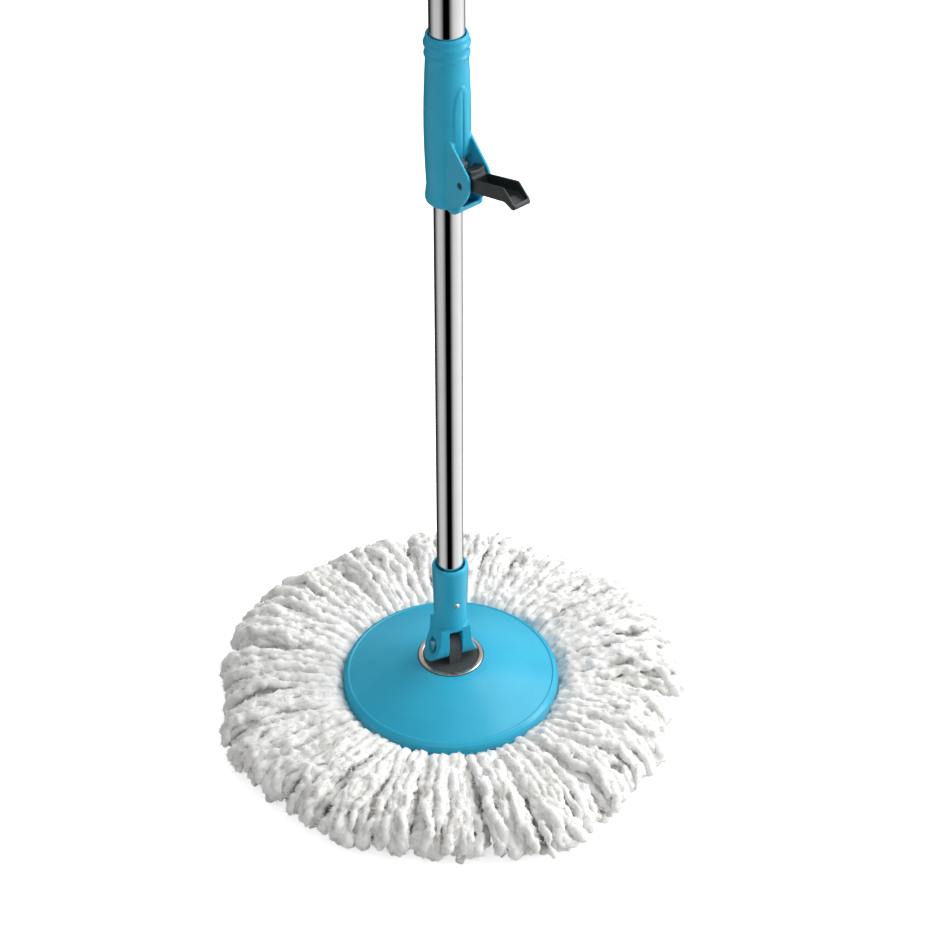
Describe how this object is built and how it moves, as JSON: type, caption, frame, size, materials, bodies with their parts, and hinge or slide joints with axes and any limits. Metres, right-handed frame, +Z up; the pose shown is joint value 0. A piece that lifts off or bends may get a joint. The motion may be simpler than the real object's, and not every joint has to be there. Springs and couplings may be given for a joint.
{
  "type": "spin mop",
  "caption": "Spin mop: round twisted-yarn refill under a tilting disc head, on a telescopic tube pole with a flip-lock sleeve, grip and hanging cap.",
  "frame": {"origin": "on the floor under the centre of the mop head", "axes": "+Z up along the pole, +X along the tilt pin"},
  "size_m": [0.344, 0.344, 1.2305],
  "materials": {
    "yarn": "looped, twisted microfibre yarn, matt and fluffy",
    "tape": "woven binding tape",
    "white_plastic": "moulded, satin",
    "blue_plastic": "moulded light blue, glossy",
    "grey_plastic": "moulded dark grey, satin",
    "dark_plastic": "moulded charcoal, satin",
    "grip_plastic": "moulded light blue, satin",
    "zinc_steel": "zinc plated",
    "ring_steel": "pressed, bright",
    "dark_steel": "blackened",
    "nut_brass": "machined",
    "polished_tube": "mirror-polished stainless tube"
  },
  "bodies": {
    "refill": {"strands": "yarn", "binding_tape": "tape", "clamp_ring": "white_plastic", "refill_ring": "white_plastic"},
    "head_plate": {"base_plate": "blue_plastic", "disc_cover": "blue_plastic", "cover_screws": "zinc_steel", "trim_ring": "ring_steel", "knuckle": "grey_plastic", "knuckle_washer": "zinc_steel", "knuckle_screw": "zinc_steel"},
    "lower_pole": {"fork_neck": "blue_plastic", "tilt_pin": "zinc_steel", "neck_rivet": "zinc_steel", "lower_tube": "polished_tube", "clutch_housing": "grey_plastic", "housing_cap": "grey_plastic"},
    "guide": {"guide_bush": "white_plastic"},
    "nut": {"drive_nut": "nut_brass"},
    "upper_handle": {"upper_tube": "polished_tube", "lock_sleeve": "blue_plastic", "collet_liner": "white_plastic", "lever_pin": "dark_steel", "drive_strip": "zinc_steel", "strip_anchor": "grey_plastic", "anchor_pin": "zinc_steel", "hand_grip": "grip_plastic", "hang_cap": "blue_plastic"},
    "lever": {"lock_lever": "dark_plastic"},
    "pad": {"clamp_pad": "white_plastic"}
  },
  "joints": [
    {"name": "refill_detach", "type": "slide", "parent": "refill", "child": "head_plate", "axis": [0, 0, 1], "range_m": [0, 0.06]},
    {"name": "head_tilt", "type": "hinge", "parent": "head_plate", "child": "lower_pole", "pos_m": [0, 0, 0.0665], "axis": [1, 0, 0], "range_deg": [-85, 85]},
    {"name": "pole_spin", "type": "hinge", "parent": "lower_pole", "child": "guide", "pos_m": [0, 0, 0.597], "axis": [0, 0, 1], "continuous": true},
    {"name": "handle_slide", "type": "slide", "parent": "guide", "child": "upper_handle", "axis": [0, 0, 1], "range_m": [-0.3, 0.08]},
    {"name": "nut_turn", "type": "hinge", "parent": "guide", "child": "nut", "pos_m": [0, 0, 0.611], "axis": [0, 0, 1], "range_deg": [-905, 245]},
    {"name": "lever_flip", "type": "hinge", "parent": "upper_handle", "child": "lever", "pos_m": [0.00701, -0.02159, 0.474], "axis": [-0.9511, -0.309, 0], "range_deg": [0, 74]},
    {"name": "pad_press", "type": "slide", "parent": "upper_handle", "child": "pad", "axis": [-0.309, 0.9511, 0], "range_m": [0, 0.00062]}
  ],
  "couplings": [
    {"joint": "nut_turn", "follows": "handle_slide", "rad_per_m": 52.36},
    {"joint": "pad_press", "follows": "lever_flip", "m_per_rad": 0.00046456}
  ]
}
